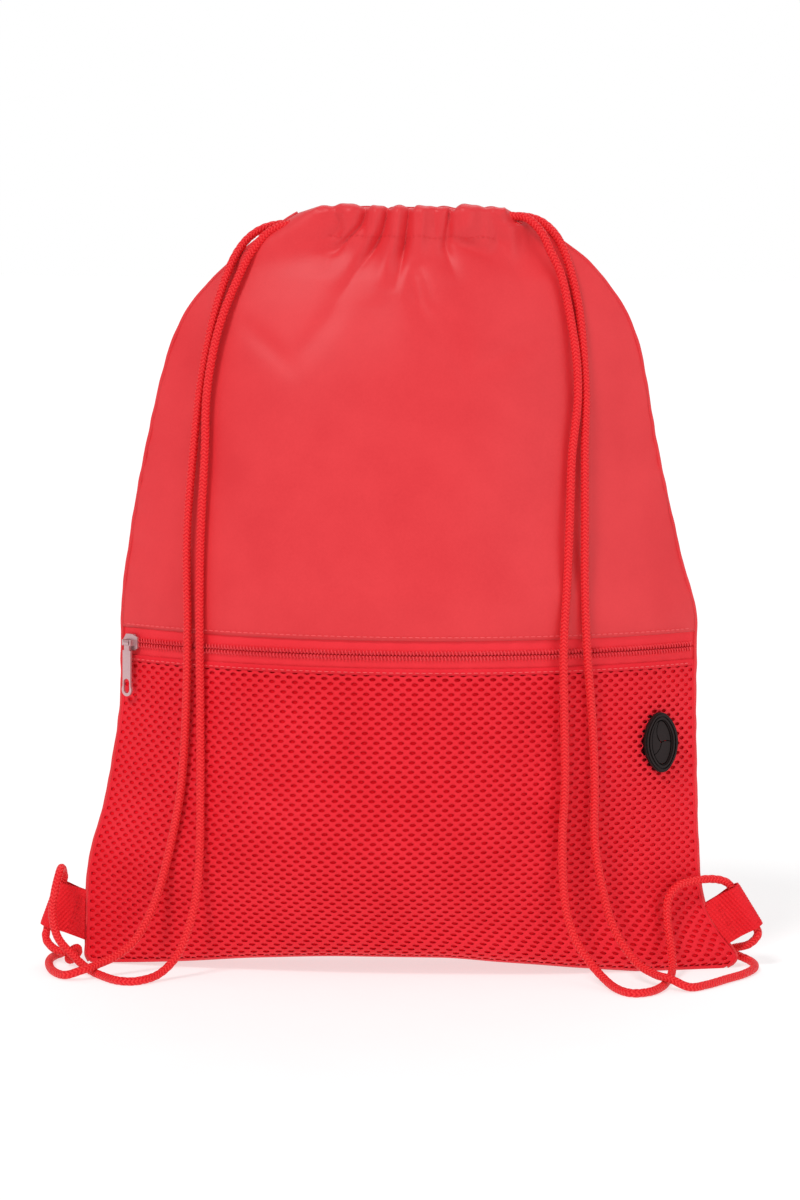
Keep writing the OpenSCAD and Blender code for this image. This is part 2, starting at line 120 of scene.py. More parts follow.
def sstep(a, b, x):
    """Goes smoothly from 0 at a to 1 at b."""
    t = np.clip((np.asarray(x, float) - a) / (b - a), 0, 1)
    return t * t * (3 - 2 * t)

def bell(x, x0, w):
    """1 at x0, falling off over w on both sides."""
    return np.exp(-((x - x0) / w) ** 2)

def crease(x, z, x0, z0, x1, z1, w, amount):
    """A soft fold along the segment from (x0, z0) to (x1, z1)."""
    dx, dz = x1 - x0, z1 - z0
    t = ((x - x0) * dx + (z - z0) * dz) / (dx * dx + dz * dz)
    tc = np.clip(t, 0, 1)
    d = np.hypot(x - x0 - tc * dx, z - z0 - tc * dz)
    return amount * np.exp(-(d / w) ** 2) * (0.35 + 0.65 * np.sin(np.pi * np.clip(t, 0.02, 0.98)))

def catmull(points, step):
    """Points about every step mm along the smooth curve through points, and its length."""
    p = np.asarray(points, float)
    q = np.vstack([2 * p[0] - p[1], p, 2 * p[-1] - p[-2]])
    out = []
    for i in range(len(p) - 1):
        a, b, c, d = q[i:i + 4]
        n = max(2, int(np.linalg.norm(c - b) / (step * 0.5)))
        for t in np.arange(n) / n:
            out.append(0.5 * (2*b + t*(c-a) + t*t*(2*a-5*b+4*c-d) + t**3*(3*b-a-3*c+d)))
    out.append(p[-1])
    out = np.array(out)
    s = np.concatenate([[0], np.cumsum(np.linalg.norm(np.diff(out, axis=0), axis=1))])
    m = int(s[-1] / step)
    return np.stack([np.interp(np.linspace(0, s[-1], m + 1), s, out[:, k]) for k in range(3)], 1), s[-1]

def frames(p):
    """Two side vectors of each point of p, carried along it without twisting."""
    t = np.gradient(p, axis=0)
    t /= np.linalg.norm(t, axis=1)[:, None]
    a = np.empty_like(p)
    v = np.array((0.3, 0.2, 1.0), float)
    for i in range(len(p)):
        v = v - t[i] * (v @ t[i])
        v /= np.linalg.norm(v)
        a[i] = v
    return a, np.cross(t, a)

def sweep(p, radius, sides):
    """Closed tube along p. radius(i, angle) gives the radii for ring index array i and angles."""
    a, b = frames(p)
    ang = 2 * np.pi * np.arange(sides) / sides
    r = radius(np.arange(len(p))[:, None], ang[None, :]) * np.ones((len(p), sides))
    ring = a[:, None] * np.cos(ang)[None, :, None] + b[:, None] * np.sin(ang)[None, :, None]
    v = (p[:, None] + r[..., None] * ring).reshape(-1, 3)
    n = len(v)
    v = np.vstack([v, p[0], p[-1]])
    last = (len(p) - 1) * sides
    f = grid_faces(len(p), sides, wrap=True)
    f += [(n, (i + 1) % sides, i) for i in range(sides)]
    f += [(n + 1, last + i, last + (i + 1) % sides) for i in range(sides)]
    return v, f

# ---------- materials ----------
GRAIN = 0.35

def material(name, colour, rough, build=None, metal=0.0, **consts):
    """Two colours mixed by broad blotches and fine grain. build adds a weave or a braid to it; a braid mixes
    the two colours by strand height instead, as painted shade and highlight.
    """
    m = bpy.data.materials.new(name)
    m.use_nodes = True
    nt = m.node_tree
    bsdf = nt.nodes["Principled BSDF"]
    bsdf.inputs["Metallic"].default_value = metal
    for k, v in consts.items():
        bsdf.inputs[k.replace("_", " ")].default_value = v
    def node(kind, **props):
        n = nt.nodes.new(kind)
        for k, v in props.items():
            if hasattr(n, k):
                setattr(n, k, v)
            else:
                n.inputs[k.replace("_", " ")].default_value = v
        return n
    def wire(a, out, b, inp):
        nt.links.new(a.outputs[out], b.inputs[inp])
    co = node("ShaderNodeTexCoord")
    blotch = node("ShaderNodeTexNoise", Scale=28.0, Detail=4.0, Roughness=0.55)
    wire(co, "Object", blotch, "Vector")
    fine = node("ShaderNodeTexNoise", Scale=900.0, Detail=2.0, Roughness=0.6)
    wire(co, "Object", fine, "Vector")
    ramp = node("ShaderNodeValToRGB")
    for stop, position, tone in zip(ramp.color_ramp.elements, (0.3, 0.72), colour):
        stop.position = position
        stop.color = (*tone, 1)
    # blotch + GRAIN * fine, moved back so that the grain is centred on zero
    mix = node("ShaderNodeMath", operation="MULTIPLY_ADD")
    wire(fine, "Fac", mix, 0)
    mix.inputs[1].default_value = GRAIN
    wire(blotch, "Fac", mix, 2)
    sub = node("ShaderNodeMath", operation="SUBTRACT")
    wire(mix, 0, sub, 0)
    sub.inputs[1].default_value = GRAIN / 2
    wire(sub, 0, ramp, "Fac")
    rr = node("ShaderNodeMapRange")
    wire(blotch, "Fac", rr, "Value")
    rr.inputs["To Min"].default_value, rr.inputs["To Max"].default_value = rough
    wire(rr, "Result", bsdf, "Roughness")
    wire(ramp, "Color", bsdf, "Base Color")
    if build:
        build(node, wire, co, fine, bsdf, ramp)
    else:
        bump = node("ShaderNodeBump", Strength=0.12, Distance=0.0002)
        wire(fine, "Fac", bump, "Height")
        wire(bump, "Normal", bsdf, "Normal")
    return m

def weave(pitch, strength, depth=0.00008):
    """Plain weave from two crossed sets of threads, pitch in millimetres and depth in metres."""
    def build(node, wire, co, fine, bsdf, ramp):
        sep = node("ShaderNodeSeparateXYZ")
        wire(co, "Object", sep, "Vector")
        prod = node("ShaderNodeMath", operation="MULTIPLY")
        for slot, axis in enumerate(("X", "Z")):
            k = node("ShaderNodeMath", operation="MULTIPLY")
            wire(sep, axis, k, 0)
            k.inputs[1].default_value = math.pi / (pitch * MM)
            wave = node("ShaderNodeMath", operation="SINE")
            wire(k, 0, wave, 0)
            wire(wave, 0, prod, slot)
        add = node("ShaderNodeMath", operation="MULTIPLY_ADD")
        wire(fine, "Fac", add, 0)
        add.inputs[1].default_value = 0.6
        wire(prod, 0, add, 2)
        bump = node("ShaderNodeBump", Strength=strength, Distance=depth)
        wire(add, 0, bump, "Height")
        wire(bump, "Normal", bsdf, "Normal")
    return build

def braided(node, wire, co, fine, bsdf, ramp):
    """Rows of V-shaped strands along the cord, from the braid UV. The colour follows strand height: a painted
    highlight on the strand tops and painted shade between them.
    """
    def op(kind, *values):
        """A Math node; each value is a number or (node, output)."""
        n = node("ShaderNodeMath", operation=kind)
        for k, q in enumerate(values):
            if isinstance(q, tuple):
                wire(q[0], q[1], n, k)
            else:
                n.inputs[k].default_value = q
        return (n, 0)
    uv = node("ShaderNodeUVMap")
    uv.uv_map = "braid"
    sep = node("ShaderNodeSeparateXYZ")
    wire(uv, "UV", sep, "Vector")
    # Four strands round the cord; across runs 0.5, 0, 0.5 over each
    across = op("ABSOLUTE", op("SUBTRACT", op("FRACT", op("MULTIPLY", (sep, "Y"), 4.0)), 0.5))
    strand = op("SINE", op("MULTIPLY", op("MULTIPLY_ADD", across, 1.3, (sep, "X")), 2 * math.pi))
    arch = op("SINE", op("MULTIPLY", across, 2 * math.pi))
    top = op("MULTIPLY_ADD", op("ABSOLUTE", arch), 0.5, strand)
    # Painted shade and highlight: strand height picks the colour, darker between the strands and lighter on
    # their tops.
    strand_painted_shade = node("ShaderNodeMapRange")
    wire(top[0], 0, strand_painted_shade, "Value")
    strand_painted_shade.inputs["From Min"].default_value = -1.0
    strand_painted_shade.inputs["From Max"].default_value = 1.4
    wire(strand_painted_shade, "Result", ramp, "Fac")
    bump = node("ShaderNodeBump", Strength=0.6, Distance=0.0004)
    wire(top[0], 0, bump, "Height")
    wire(bump, "Normal", bsdf, "Normal")

SATIN = material("satin_cloth", ((0.705, 0.025, 0.033), (0.765, 0.035, 0.043)), (0.40, 0.50),
                 weave(0.42, 0.25), Sheen_Weight=0.12, Sheen_Roughness=0.4, Specular_IOR_Level=0.35)
BACKM = material("satin_cloth_back", ((0.70, 0.025, 0.033), (0.765, 0.035, 0.043)), (0.44, 0.54),
                 weave(0.42, 0.25), Sheen_Weight=0.12, Sheen_Roughness=0.4, Specular_IOR_Level=0.35)
MESHM = material("mesh_cloth", ((0.77, 0.010, 0.022), (0.84, 0.017, 0.032)), (0.55, 0.66),
                 weave(0.5, 0.4), Sheen_Weight=0.08, Sheen_Roughness=0.4, Specular_IOR_Level=0.2)
LINING = material("lining_cloth", ((0.80, 0.002, 0.010), (0.86, 0.004, 0.014)), (0.6, 0.7),
                  weave(0.42, 0.2), Specular_IOR_Level=0.1)
TAPE = material("zip_tape_cloth", ((0.80, 0.020, 0.032), (0.86, 0.028, 0.042)), (0.55, 0.65),
                weave(0.7, 0.4), Specular_IOR_Level=0.25)
COIL = material("zip_coil_nylon", ((0.80, 0.035, 0.050), (0.88, 0.060, 0.075)), (0.35, 0.45),
                Specular_IOR_Level=0.3)
WEB_THREAD = material("webbing_thread", ((0.68, 0.008, 0.016), (0.74, 0.012, 0.021)), (0.5, 0.6),
                      Specular_IOR_Level=0.25)
THREAD_DULL = material("casing_thread", ((0.73, 0.030, 0.038), (0.79, 0.045, 0.053)), (0.5, 0.6),
                       Specular_IOR_Level=0.3)
THREAD = material("stitching_thread", ((0.84, 0.09, 0.10), (0.90, 0.12, 0.13)), (0.5, 0.6),
                  Specular_IOR_Level=0.3)
# The cord's darker colour is painted shade between the strands, and the lighter one is a painted highlight on
# their tops.
CORD = material("cord_braid", ((0.78, 0.003, 0.010), (0.97, 0.032, 0.036)), (0.45, 0.55), braided,
                Sheen_Weight=0.05, Sheen_Roughness=0.4, Specular_IOR_Level=0.25)
WEB = material("webbing_rib", ((0.78, 0.005, 0.013), (0.84, 0.009, 0.018)), (0.55, 0.65),
               weave(1.3, 0.6, 0.0004), Specular_IOR_Level=0.25)
METAL = material("slider_lacquer", ((0.52, 0.30, 0.32), (0.64, 0.42, 0.43)), (0.25, 0.38),
                 metal=0.6, Coat_Weight=0.2)
RUBBER = material("port_rubber_matt", ((0.012, 0.006, 0.006), (0.018, 0.010, 0.010)), (0.42, 0.52),
                  Specular_IOR_Level=0.18)
FLOORM = material("floor_plain", ((0.46, 0.46, 0.46), (0.47, 0.47, 0.47)), (0.9, 0.95),
                  Specular_IOR_Level=0.05)

# ---------- cords: the CAD's own route points, in millimetres ----------
LEFT_UP = [
    (-173, -4, 6.6), (-173.5, 6.5, 5), (-180, 10, 3.2), (-186, 3, 2.2), (-186.5, -12, 2.2),
    (-182.5, -31, 2.2), (-175, -43, 2.6), (-166.5, -43.5, 5.2), (-159, -38, 7), (-148, -32, 11.5),
    (-138.5, -28, 20.5), (-129, -27.5, 41), (-121.5, -29, 70), (-116.3, -30, 100), (-114, -30, 138),
    (-113.3, -30, 180), (-114, -26.5, 226), (-111.3, -22.5, 268), (-107.5, -18, 306),
    (-101.5, -14.5, 338), (-94.5, -7.5, 362), (-87, 0, 376.5), (-77, 4, 384.5),
]
LEFT_NECK = [
    (-64, 6.2, 387.2), (-50, 8, 387), (-25, 13.2, 387), (0, 15.1, 387), (25, 13.2, 387),
    (46, 8.6, 387), (53.5, 6.4, 387), (56.5, 0, 387), (53.5, -6.4, 387), (46, -8.6, 387),
    (25, -13.2, 387), (0, -15.1, 387), (-25, -13.2, 387), (-50, -8, 387),
]
LEFT_DOWN = [
    (-62, -7.5, 386.8), (-73, -5.5, 383), (-82.5, -7.5, 372.5), (-89.5, -12, 358),
    (-96.5, -17, 340), (-101.5, -20, 320), (-104.5, -22.5, 297), (-105, -26, 270),
    (-106.8, -30, 226), (-107, -33.5, 182), (-106.5, -33.5, 140), (-106.2, -35.5, 92),
    (-106.8, -35.5, 58), (-109.5, -35.5, 36), (-116, -38, 15.5), (-125.5, -43, 4.4),
    (-136, -53, 2.2), (-146.5, -53.5, 2.2), (-156.5, -41.5, 2.2), (-164.5, -31.5, 3.6),
    (-173, -26, 9.6), (-181, -21.5, 18), (-184, -18.5, 30), (-182.8, -17.4, 41),
    (-181, -13.5, 49.5), (-180.3, -8.5, 51.8), (-180, -3, 49.5), (-180, 0, 43.5), (-184, 0, 31.1),
    (-188.3, 0, 19.3), (-189, -1.5, 12.5), (-184, -5.5, 8), (-177, -8.5, 6.8),
]
RIGHT_UP = [
    (167, 11, 6.8), (173.5, 9.5, 8.8), (180.5, 3.5, 12), (184.6, 0, 17.5), (183.6, 0, 22),
    (177, 0, 32.6), (171, 0, 42.2), (167, -1, 46.2), (160, -3.5, 48), (151, -8, 48),
    (141.5, -12.5, 46), (136, -16, 39), (135.8, -18, 27), (137.8, -21.5, 13.5), (137.5, -29.5, 4.2),
    (134, -43, 2.2), (130, -57, 2.2), (123.5, -68, 2.2), (114.5, -72, 2.2), (107.5, -64, 2.3),
    (101.5, -53, 4.8), (93, -46.5, 13.5), (85.5, -43.5, 26), (80.8, -42.5, 44), (79.2, -43, 74),
    (80, -45.5, 104), (79.2, -46.5, 138), (78.4, -47, 174), (80, -42.5, 210), (81, -38, 240),
    (81.8, -33.5, 270), (84.6, -28.5, 298), (83.8, -25.5, 320), (80.6, -20.5, 341),
    (76.3, -16, 361), (70.5, -14, 374), (65.5, -11.5, 384),
]
RIGHT_NECK = [
    (58.5, -9.4, 390.6), (50, -8.2, 391.8), (25, -13.2, 391.8), (0, -15.1, 391.8),
    (-25, -13.2, 391.8), (-44, -8.8, 391.8), (-51, -6.2, 391.8), (-54, 0, 391.8),
    (-51, 6.2, 391.8), (-44, 8.8, 391.8), (-25, 13.2, 391.8), (0, 15.1, 391.8), (25, 13.2, 391.8),
    (50, 8.4, 391.8),
]
RIGHT_DOWN = [
    (60, 6, 391.4), (68, 1, 388), (75, -5, 380), (80.5, -10.5, 366), (85.2, -15.5, 346),
    (87.4, -20.5, 326), (89, -25, 301), (88.6, -29, 276), (88.8, -34.5, 240), (89, -39.5, 206),
    (90.5, -41.5, 172), (93.6, -40, 138), (95.5, -39, 104), (96, -37.5, 74), (100.2, -36.5, 50),
    (106.5, -36.5, 28.5), (117, -41, 12.5), (126.5, -49, 7.2), (134.5, -56.5, 6.2),
    (144, -58.5, 2.6), (154, -50.5, 2.2), (165, -37, 2.2), (175.5, -24, 2.2), (182.3, -9, 2.2),
    (182, 6, 2.4), (171.5, 14, 5.6),
]
# Outer radius, distance between rings, length of a braid step and points in a ring, all in mm
CORD_R = 2.15
RING_STEP = 0.62
BRAID_STEP = 1.9
CORD_SIDES = 20
# The same for the knot, whose cord is pulled a little thinner
KNOT_R = 1.95
KNOT_STEP = 0.34
KNOT_SIDES = 14
KNOT_SCALE = 1.72

def cord_radius(i, ang):
    """Four strands each way round, crossing."""
    s = i * RING_STEP * 1.55
    return CORD_R * (0.955 + 0.06 * np.maximum(np.sin(4 * ang + s), np.sin(4 * ang - s)))

def knot_radius(i, ang):
    return KNOT_R * (0.95 + 0.06 * np.maximum(np.sin(4 * ang + i * 0.5), np.sin(4 * ang - i * 0.5)))

def braid_uv(o, sides, rings, step):
    """u runs along the cord in braid steps, v once round it."""
    uv = o.data.uv_layers.new(name="braid")
    side = rings * sides
    data = np.zeros(len(o.data.loops) * 2)
    idx = np.empty(len(o.data.loops), int)
    o.data.loops.foreach_get("vertex_index", idx)
    ring, k = np.minimum(idx // sides, rings - 1), idx % sides
    k = np.where(idx >= side, 0, k).astype(float)
    polygons = o.data.polygons
    starts = np.repeat([q.loop_start for q in polygons], [q.loop_total for q in polygons])
    turn = k - k[starts]
    k = np.where(turn < -sides / 2, k + sides, np.where(turn > sides / 2, k - sides, k))
    data[0::2], data[1::2] = ring * step / BRAID_STEP, k / sides
    uv.data.foreach_set("uv", data)

def drawcord(name, points, node, knot_node, knot_at, lean, body):
    """A cord along its route and its knot. The end of the cord goes with the tab it runs through."""
    p, length = catmull(points, RING_STEP)
    v, f = sweep(p, cord_radius, CORD_SIDES)
    o = link(name, v, f, CORD)
    braid_uv(o, CORD_SIDES, len(p), RING_STEP)
    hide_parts(node)
    # The knot: a three-lobed turn of the same cord, pulled tight
    t = np.linspace(0, 2 * np.pi, 220)
    k = np.stack([np.sin(t) + 1.45 * np.sin(2 * t), np.cos(t) - 1.45 * np.cos(2 * t),
                  -1.05 * np.sin(3 * t)], 1)
    k *= KNOT_SCALE
    rot = np.array(Matrix.Rotation(lean[0], 3, "X") @ Matrix.Rotation(lean[1], 3, "Y"))
    k = k @ rot.T + np.array(knot_at)
    v, f = sweep(k, knot_radius, KNOT_SIDES)
    ko = link(name + "_knot", v, f, CORD)
    braid_uv(ko, KNOT_SIDES, len(k), KNOT_STEP)
    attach(ko, body)
    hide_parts(knot_node)
    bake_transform(o)

drawcord("cord_left", LEFT_UP + LEFT_NECK + LEFT_DOWN, "drawcord_left", "cord_knot_left",
         (-175, -8, 6.7), (0.9, 0.3), "tab_left")
drawcord("cord_right", RIGHT_UP + RIGHT_NECK + RIGHT_DOWN, "drawcord_right", "cord_knot_right",
         (168, 12, 6.7), (-0.7, 0.5), "tab_right")

# ---------- the bag's shape ----------
# Half widths of the outline and bulge of the faces by height, and how far the base arches up by x: all in mm
LEFT = [[0, 166], [5, 168], [45, 167], [94, 156], [148, 149], [184, 148.8], [227, 144], [289, 132.5],
        [321, 124.5], [340, 116.5], [355, 105], [368, 92], [378, 80], [385, 70], [389, 64.5],
        [392.8, 58], [397, 50]]
RIGHT = [[0, 167], [3, 172], [6, 173.5], [18, 165], [34, 156], [50, 153], [94, 150.5], [148, 149],
         [184, 148.8], [214, 141], [276, 126.5], [323, 117.5], [340, 111.5], [355, 102], [368, 91],
         [378, 78], [385, 67], [389, 61], [392.8, 53], [397, 47]]
BULGE = [[0, 20], [3, 27], [9, 32.5], [20, 37], [60, 49], [100, 54.7], [148, 56.1], [184, 56.1],
         [230, 52.2], [305, 41.2], [345, 31.2], [375, 21.6], [380, 20.2], [396, 20.2]]
ARCH = [[-175, 0], [-150, 1.2], [-118, 3.4], [-76, 7], [-29, 8.8], [17, 8.6], [49, 6.2], [69, 4.6],
        [90, 2.6], [111, 0.8], [125, 0], [175, 0]]
# Centre of the port: x and height
PORT = (130, 122)
# The cloth lies flat round this height, under the zip
ZIP_FLAT = 171
# Below this height the front shows the mesh's folds, above it the upper panel's
MESH_FOLDS_TOP = 160
# The faces end here and the cloth rolls over the rim
NECK_TOP = 392.8
# At x = 0 the casing's middle stands this far from the middle plane; it comes in by x * x / NECK_SAG
NECK_MID = 16.5
NECK_SAG = 322.6
# Half thickness of the casing
NECK_OUT = 4.7
# The neck's arc runs to this x, and the rim to that one
NECK_SIDE = 44
NECK_END = 47
# How deep and how high the folds of the casing go
FOLD_IN = -3.1
FOLD_OUT = 2.6

# Gathers below the neck, front face. Each line runs down: height, x, depth and half width, all in mm
GATHERS = (
    ((397, -41.5, 1.5, 1.8), (388, -37.5, 1.3, 1.8), (379, -40, 0.2, 3), (370, -44, 0, 4)),
    ((397, -23, 3.2, 1.6), (386, -26.8, 3.4, 2.0), (377.5, -35, 2.4, 3.0), (370, -42, 0.5, 5),
     (360, -50, 0, 6)),
    ((397, -12.4, 3.2, 1.4), (383, -15.4, 3.4, 1.9), (373, -20.6, 2.6, 3.2), (364, -28, 1.6, 4.6),
     (348, -38, 0.6, 7), (330, -46, 0, 9)),
    ((397, -1.6, 3.4, 1.4), (377, -3.8, 3.6, 1.9), (365, -6.4, 2.2, 3.0), (352, -9, 0, 5)),
    ((368, 0.5, 0, 3), (361, 1.4, 1.5, 4), (348, 4, 2.0, 6), (333, 12.5, 1.4, 9), (316, 22, 0, 12)),
    ((397, 10.5, 0.9, 2.0), (386, 11.6, 1.6, 2.4), (374, 12.5, 0, 4)),
    ((397, 19.6, 3.4, 1.5), (383, 18, 4.0, 2.1), (375.5, 17.2, 3.0, 3.0), (368, 19, 1.6, 4.5),
     (356, 24, 0, 7)),
    ((397, 38.5, 0.7, 2.6), (385, 42, 1.2, 3.5), (372, 48, 0.8, 6), (350, 60, 0, 9)),
    ((397, -32, -2.4, 4.2), (384, -32, -2.6, 4.0), (372, -37, 0, 5)),
    ((397, -17.6, -1.8, 3.0), (383, -20.5, -2.4, 3.2), (370, -28, -0.8, 5), (352, -36, 0, 8)),
    ((397, -7, -2.0, 2.8), (380, -9.5, -2.6, 3.2), (366, -14, -1.3, 4.4), (345, -20, 0, 8)),
    ((397, 5, -2.2, 3.8), (380, 3, -2.6, 4.0), (366, 3, 0, 5)),
    ((397, 28, -2.6, 4.8), (386, 27, -2.8, 5.0), (377, 26, 0, 6)),
)

# Creases: from x, z to x, z, width and depth
NECK_CREASES = (
    (20, 380, 40, 371.5, 3.4, -1.8), (40, 371.5, 47, 384, 4, -0.9),
    (-44, 379, -34, 385, 2.6, -1.2), (-47, 372, -34, 376.5, 3.2, -1.1),
)
# Two shallow V shapes under the neck
FRONT_CREASES = (
    (-84, 334, -61, 315, 5, -0.8), (-61, 315, -36, 346, 6, -0.9),
    (12, 332, 28, 313, 4, -0.8), (28, 313, 60, 326, 5, -0.8),
)
MESH_CREASES = ((118, 66, 150, 14, 8, -2.0), (-132, 70, -158, 22, 8, -1.4))
BACK_CREASES = ((-70, 340, -30, 290, 6, -1.0), (60, 330, 30, 280, 6, -1.0))
# Soft dents and swells where the filling stops: x, z, reach in x, reach in z, height
FRONT_SWELLS = (
    (-20, 352, 16, 26, -1.6), (28, 350, 18, 22, 1.0), (-105, 250, 14, 60, -1.2), (62, 232, 34, 20, -1.3),
    (78, 202, 26, 14, 1.1), (20, 262, 60, 24, 1.2), (-40, 230, 50, 26, -0.9), (112, 290, 10, 50, -1.4),
    (-60, 290, 30, 30, 1.0), (96, 246, 14, 40, -1.2), (-10, 200, 70, 10, 0.8),
)
MESH_SWELLS = (
    (-128, 60, 20, 30, 1.8), (-96, 40, 30, 22, -1.6), (0, 60, 60, 30, 1.4), (104, 40, 16, 40, -1.8),
    (130, 30, 14, 22, 1.6), (70, 110, 20, 40, -0.8), (-60, 110, 30, 30, 0.8), (-142, 100, 8, 8, 1.0),
    (30, 22, 50, 10, -1.0),
)
BACK_SWELLS = (
    (-60, 300, 40, 30, 1.2), (40, 250, 60, 26, -1.3), (-50, 180, 70, 24, -1.2), (70, 150, 40, 30, 1.2),
    (0, 90, 80, 24, -1.2), (-100, 80, 24, 30, 1.3), (100, 50, 26, 26, 1.4),
)
# Gathers below the neck, back face: x, height, width and how far down they reach
BACK_GATHERS = (
    (-40, -1.6, 3.4, 0.6), (-28, 2.2, 5, 0.8), (-15, -3.2, 3.2, 0.7), (-4, 2.0, 4, 0.6),
    (6, -3.4, 3.0, 0.9), (17, 2.2, 4.4, 0.8), (29, -2.8, 3.4, 0.6), (40, 1.8, 4.6, 0.7),
)
# Nicks and bumps of the front rim: x, width and height
RIM_BUMPS = (
    (-35, 5, 0.9), (28, 6, 0.8), (20.5, 1.6, -1.6), (-23, 1.4, -1.2), (-11.5, 1.3, -1.2), (0, 1.3, -1.2),
)

def add_swells(d, x, z, table):
    for x0, z0, rx, rz, amount in table:
        d = d + amount * bell(x, x0, rx) * bell(z, z0, rz)
    return d

def add_creases(d, x, z, table):
    for row in table:
        d = d + crease(x, z, *row)
    return d

def near_neck(x, z):
    """Gathers of the front face near the neck; on the casing they are limited and get a fine ripple."""
    d = 0
    for line in GATHERS:
        height, centre, deep, wide = np.array(line[::-1], float).T
        sharp = 1.35 if deep[-1] > 0 else 2
        across = np.abs(x - np.interp(z, height, centre)) / np.interp(z, height, wide)
        d = d - np.interp(z, height, deep, left=0) * np.exp(-across ** sharp)
    d = add_creases(d, x, z, NECK_CREASES)
    w = sstep(372, 384, z)
    ripple = 0.12 * np.sin(x * 1.25 + 2 * np.sin(x * 0.3))
    return 1.2 * d * (1 - w) + np.clip(0.95 * d + ripple, FOLD_IN, FOLD_OUT) * w

def front_folds(x, z):
    return add_swells(add_creases(near_neck(x, z), x, z, FRONT_CREASES), x, z, FRONT_SWELLS)

def mesh_folds(x, z):
    return add_creases(add_swells(0, x, z, MESH_SWELLS), x, z, MESH_CREASES)

def back_folds(x, z):
    # 0 at 386 mm and above; it grows by 1 for each 50 mm below that, up to 3
    q = np.clip((386 - z) / 50, 0, 3)
    d = 0
    for x0, amount, w, reach in BACK_GATHERS:
        d = d + amount * bell(x, x0 * (1 + 0.5 * q), w * (1 + 1.5 * q)) * np.exp(-(q / reach) ** 2)
    return add_creases(add_swells(d, x, z, BACK_SWELLS), x, z, BACK_CREASES)

def shoulder(x, z, d):
    """How far the cloth stands from the middle plane round the neck, at x in mm."""
    end = np.where(x < 0, tab(LEFT, z), tab(RIGHT, z))
    ax = np.abs(x)
    t = np.clip((ax - NECK_SIDE) / np.maximum(end - NECK_SIDE, 3), 0, 1)
    arc = NECK_MID + NECK_OUT - ax ** 2 / NECK_SAG
    quarter = np.sqrt(np.clip(1 - t ** 2.6, 0, 1))
    side = 0.5 + 14.7 * quarter
    if d < 0:
        # On the right the cord lies outside the cloth, so the shoulder falls back behind it
        low = 0.5 + 5.6 * quarter
        cover = (1 - sstep(47, 63, ax)) * (1 - sstep(386.5, 389, z))
        fall = sstep(45, 56, ax) * (1 - cover) * (x > 0)
        side = side * (1 - fall) + low * fall
    return np.where(ax < NECK_SIDE, arc, side)

def face(s, z, d, out=0.0, folds=True):
    """Point of a face at height z (mm): s from -1 (left seam) to 1 (right seam); d is -1 front, 1 back."""
    s, z = np.broadcast_arrays(np.asarray(s, float), np.asarray(z, float))
    left, right, bulge = tab(LEFT, z), tab(RIGHT, z), tab(BULGE, z)
    # An arc from seam to seam
    half = (left + right) / 2
    rad = (half * half + bulge * bulge) / (2 * bulge)
    a = np.arcsin(np.clip(half / rad, -1, 1)) * s
    x = (right - left) / 2 + rad * np.sin(a)
    y = 0.5 + rad * np.cos(a) - rad + bulge
    w = sstep(358, 387, z)
    y = y * (1 - w) + shoulder(x, z, d) * w
    o = out
    if folds:
        at_seam = np.exp(-(1 - np.abs(s)) / 0.05)
        pucker = 0.28 * at_seam * np.sin(z * 0.42 + 1.3 * np.sin(z * 0.07)) * (0.6 + 0.4 * np.sin(z * 0.031))
        edge = 1 - np.abs(s) ** 14
        edge = edge * (1 - sstep(44, 50, np.abs(x)) * sstep(380, 386, z))
        if d < 0:
            f = front_folds(x, z) * (z > MESH_FOLDS_TOP) + mesh_folds(x, z) * (z <= MESH_FOLDS_TOP)
            # No folds round the port and the zip, and weaker ones under the left cords
            keep = 1 - np.exp(-(((x - PORT[0]) / 20) ** 2 + ((z - PORT[1]) / 24) ** 2))
            keep = keep * sstep(8, 30, np.abs(z - ZIP_FLAT)) * (1 - 0.5 * bell(x, -107, 12) * (z < 330))
            o = out + f * keep * edge + pucker * sstep(6, 20, np.abs(z - ZIP_FLAT))
        else:
            o = out + back_folds(x, z) * edge + pucker
    x = x + o * np.sin(a)
    y = np.maximum(y + o * np.cos(a), 0.3)
    lift = tab(ARCH, np.clip(x, -175, 175)) * np.clip(1 - z / 70, 0, 1) ** 1.5
    return np.stack([x, d * y, z + lift], -1)

def crown(x, d):
    """Folds at the top of the casing."""
    z = np.full_like(x, 393.0)
    return near_neck(x, z) if d < 0 else np.clip(back_folds(x, z), -2.5, FOLD_OUT)

def rim(x, d):
    """How much the rim stands up along the neck."""
    if d > 0:
        return 0.3 * np.sin(x * 0.5)
    z = 0
    for x0, w, amount in RIM_BUMPS:
        z = z + amount * bell(x, x0, w)
    return z + 0.25 * np.sin(x * 0.8)

def roll(v, d):
    """Adds rows that carry the cloth over the top of the neck."""
    last = v[-1]
    x = np.clip(last[:, 0], -NECK_END, NECK_END)
    g = np.clip(crown(x, d), FOLD_IN, FOLD_OUT)
    extra = []
    for k in range(1, 6):
        a = math.pi / 2 * k / 5
        y = NECK_MID + NECK_OUT * math.cos(a) - x ** 2 / NECK_SAG + g * math.cos(a)
        y = np.minimum(y, np.abs(last[:, 1]) + 0.2)
        z = NECK_TOP + (3.4 + 0.28 * g + rim(x, d)) * math.sin(a)
        extra.append(np.stack([last[:, 0] + (x - last[:, 0]) * math.sin(a), d * y, z], -1))
    return np.concatenate([v, np.array(extra)], 0)

def rows(a, b, n):
    return np.linspace(a, b, n + 1)

